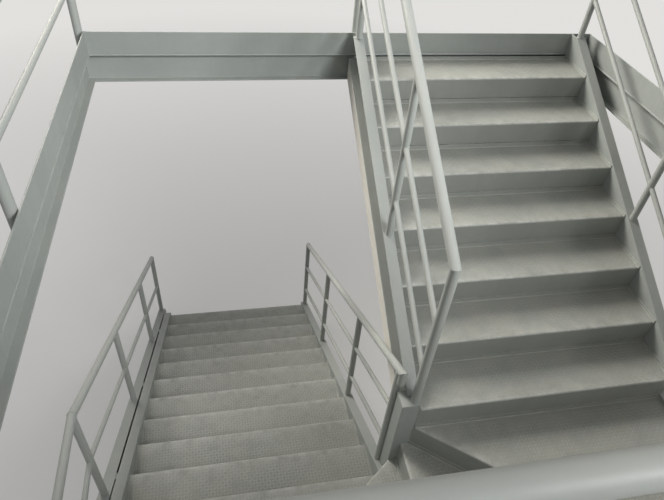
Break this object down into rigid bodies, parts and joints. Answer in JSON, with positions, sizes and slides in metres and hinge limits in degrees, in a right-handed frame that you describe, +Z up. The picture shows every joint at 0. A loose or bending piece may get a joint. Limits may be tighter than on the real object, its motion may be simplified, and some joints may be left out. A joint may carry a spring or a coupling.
{
  "type": "half-turn stair with winders",
  "caption": "Steel half-turn stair with winders round a newel, channel stringers, tube balustrades and a guarded edge frame round the stairwell.",
  "frame": {"origin": "middle of the footprint box at floor level", "axes": "+Z up; +Y the way the upper flight climbs; +X from the lower flight to the upper flight"},
  "size_m": [3.695, 4.581, 4.6958],
  "materials": {
    "frame_grey": "satin grey paint, rubbed and dusty",
    "tread_grey": "worn grey paint on raised-pattern plate",
    "rail_grey": "satin light grey paint",
    "lining_cream": "matt cream paint"
  },
  "bodies": {
    "root": {"upper_tread_1": "tread_grey", "upper_tread_2": "tread_grey", "upper_tread_3": "tread_grey", "upper_tread_4": "tread_grey", "upper_tread_5": "tread_grey", "upper_tread_6": "tread_grey", "upper_tread_7": "tread_grey", "winder_tread_1": "tread_grey", "winder_tread_2": "tread_grey", "winder_tread_3": "tread_grey", "winder_tread_4": "tread_grey", "lower_tread_1": "tread_grey", "lower_tread_2": "tread_grey", "lower_tread_3": "tread_grey", "lower_tread_4": "tread_grey", "lower_tread_5": "tread_grey", "lower_tread_6": "tread_grey", "lower_tread_7": "tread_grey", "lower_tread_8": "tread_grey", "lower_tread_9": "tread_grey", "lower_tread_10": "tread_grey", "upper_stringer_inner": "frame_grey", "upper_stringer_outer": "frame_grey", "lower_stringer_inner": "frame_grey", "lower_stringer_outer": "frame_grey", "winder_stringer_left": "frame_grey", "winder_stringer_near_left": "frame_grey", "winder_stringer_near_right": "frame_grey", "winder_stringer_right": "frame_grey", "newel_column": "frame_grey", "corner_columns": "frame_grey", "side_kerb": "frame_grey", "soffit_board": "lining_cream", "soffit_sides": "lining_cream", "edge_beam_far": "frame_grey", "edge_beam_left": "frame_grey", "edge_beam_near": "frame_grey", "edge_beam_right": "frame_grey", "upper_balustrade_inner": "rail_grey", "upper_balustrade_outer": "rail_grey", "lower_balustrade_inner": "rail_grey", "lower_balustrade_outer": "rail_grey", "winder_balustrade": "rail_grey", "floor_guard_left": "rail_grey", "floor_guard_far": "rail_grey", "floor_guard_near": "rail_grey"}
  },
  "joints": []
}
